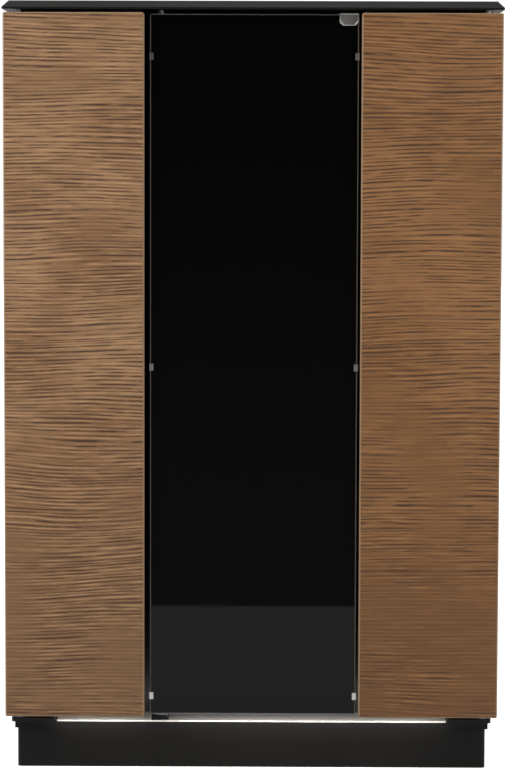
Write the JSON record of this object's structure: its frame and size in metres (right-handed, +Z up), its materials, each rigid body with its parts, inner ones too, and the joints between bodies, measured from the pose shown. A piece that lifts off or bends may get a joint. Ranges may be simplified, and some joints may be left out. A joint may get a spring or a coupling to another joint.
{
  "type": "pellet boiler stove",
  "caption": "Free-standing pellet boiler stove with oak-veneered side doors, a tall black glass door between them, a black top plate and a set-back plinth.",
  "frame": {"origin": "on the floor, under the middle of the whole stove", "axes": "+X to the right seen from the front, +Y to the back, +Z up; the doors face -Y"},
  "size_m": [0.64, 0.64, 1],
  "materials": {
    "oak": "brushed oak veneer",
    "black_paint": "satin powder coat",
    "grey_plate": "satin",
    "zinc_steel": "satin",
    "black_plastic": "matte",
    "display_glass": "gloss",
    "black_glass": "gloss",
    "nickel": "satin nickel",
    "boiler_steel": "matte heat-proof paint",
    "cast_iron": "matte",
    "fire_ceramic": "matte",
    "fire_glass": "gloss",
    "rope_fabric": "braided rope",
    "cast_aluminium": "cast",
    "brass_fitting": "satin",
    "red_paint": "gloss"
  },
  "bodies": {
    "stove": {"top_plate": "black_paint", "plinth": "black_paint", "base_plate": "grey_plate", "levelling_feet": "zinc_steel", "casing_left": "black_paint", "casing_right": "black_paint", "casing_back": "zinc_steel", "front_panel": "black_paint", "control_panel": "display_glass", "left_door_bracket": "black_paint", "right_door_bracket": "black_paint", "door_catches": "black_plastic", "glass_door_bracket": "black_paint", "latch_body": "black_plastic", "boiler_body": "boiler_steel", "boiler_front": "boiler_steel", "heat_exchanger": "boiler_steel", "burn_pot": "cast_iron", "flame_baffle": "fire_ceramic", "pellet_slide": "boiler_steel", "igniter": "zinc_steel", "cleaning_guide": "boiler_steel", "hopper": "zinc_steel", "auger_tube": "zinc_steel", "auger_gearmotor": "cast_aluminium", "fan_housing": "zinc_steel", "fan_motor": "cast_aluminium", "flue_pipe": "black_paint", "air_inlet_pipe": "zinc_steel", "supply_pipe": "brass_fitting", "return_pipe": "brass_fitting", "circulation_pump": "cast_iron", "expansion_vessel": "red_paint", "safety_valve": "brass_fitting", "pressure_gauge": "black_plastic", "drain_cock": "brass_fitting", "control_box": "black_plastic", "power_inlet": "black_plastic"},
    "glass_door": {"glass_pane": "black_glass", "glass_frame": "black_paint", "glass_clips": "nickel", "strike_plate": "nickel", "glass_door_pins": "zinc_steel"},
    "wood_door_left": {"wood_door_left": "oak", "left_door_pins": "zinc_steel"},
    "wood_door_right": {"wood_door_right": "oak", "right_door_pins": "zinc_steel"},
    "latch_plunger": {"latch_plunger": "nickel"},
    "firebox_door": {"firebox_door": "cast_iron", "firebox_glass": "fire_glass", "firebox_gasket": "rope_fabric", "firebox_hinge_pins": "zinc_steel"},
    "firebox_handle": {"firebox_handle": "nickel"},
    "ash_drawer": {"ash_drawer": "zinc_steel"},
    "cleaning_lever": {"cleaning_lever": "nickel"},
    "hopper_lid": {"hopper_lid": "black_paint"},
    "auger_screw": {"auger_screw": "zinc_steel"},
    "fan_impeller": {"fan_impeller": "zinc_steel"},
    "drain_handle": {"drain_handle": "red_paint"},
    "rocker_switch": {"rocker_switch": "black_plastic"}
  },
  "joints": [
    {"name": "glass_door_hinge", "type": "hinge", "parent": "stove", "child": "glass_door", "pos_m": [-0.118, -0.289, 0.5], "axis": [0, 0, -1], "range_deg": [0, 100]},
    {"name": "wood_door_left_hinge", "type": "hinge", "parent": "stove", "child": "wood_door_left", "pos_m": [-0.3, -0.306, 0.5], "axis": [0, 0, -1], "range_deg": [0, 95]},
    {"name": "wood_door_right_hinge", "type": "hinge", "parent": "stove", "child": "wood_door_right", "pos_m": [0.3, -0.306, 0.5], "axis": [0, 0, 1], "range_deg": [0, 95]},
    {"name": "latch_plunger_slide", "type": "slide", "parent": "stove", "child": "latch_plunger", "axis": [0, -1, 0], "range_m": [0, 0.01]},
    {"name": "firebox_door_hinge", "type": "hinge", "parent": "stove", "child": "firebox_door", "pos_m": [-0.094, -0.229, 0.455], "axis": [0, 0, -1], "range_deg": [0, 90]},
    {"name": "firebox_handle_turn", "type": "hinge", "parent": "firebox_door", "child": "firebox_handle", "pos_m": [0.1, -0.24, 0.455], "axis": [0, 1, 0], "range_deg": [0, 90]},
    {"name": "ash_drawer_slide", "type": "slide", "parent": "stove", "child": "ash_drawer", "axis": [0, -1, 0], "range_m": [0, 0.17]},
    {"name": "cleaning_lever_slide", "type": "slide", "parent": "stove", "child": "cleaning_lever", "axis": [0, 0, 1], "range_m": [0, 0.06]},
    {"name": "hopper_lid_hinge", "type": "hinge", "parent": "stove", "child": "hopper_lid", "pos_m": [0, 0.2415, 0.9955], "axis": [-1, 0, 0], "range_deg": [0, 75]},
    {"name": "auger_spin", "type": "hinge", "parent": "stove", "child": "auger_screw", "pos_m": [0.016, 0.028, 0.698], "axis": [0, -0.7071, 0.7071], "continuous": true},
    {"name": "fan_spin", "type": "hinge", "parent": "stove", "child": "fan_impeller", "pos_m": [-0.075, 0.085, 0.2], "axis": [0, 1, 0], "continuous": true},
    {"name": "drain_handle_turn", "type": "hinge", "parent": "stove", "child": "drain_handle", "pos_m": [-0.134, -0.15, 0.14], "axis": [0, 0, -1], "range_deg": [0, 90]},
    {"name": "rocker_switch_tilt", "type": "hinge", "parent": "stove", "child": "rocker_switch", "pos_m": [0.22, 0.275, 0.168], "axis": [1, 0, 0], "range_deg": [-8, 8]}
  ],
  "couplings": [
    {"joint": "latch_plunger_slide", "follows": "glass_door_hinge", "m_per_rad": 0.0057},
    {"joint": "firebox_door_hinge", "follows": "glass_door_hinge", "ratio": 0.9},
    {"joint": "ash_drawer_slide", "follows": "glass_door_hinge", "m_per_rad": 0.097}
  ]
}
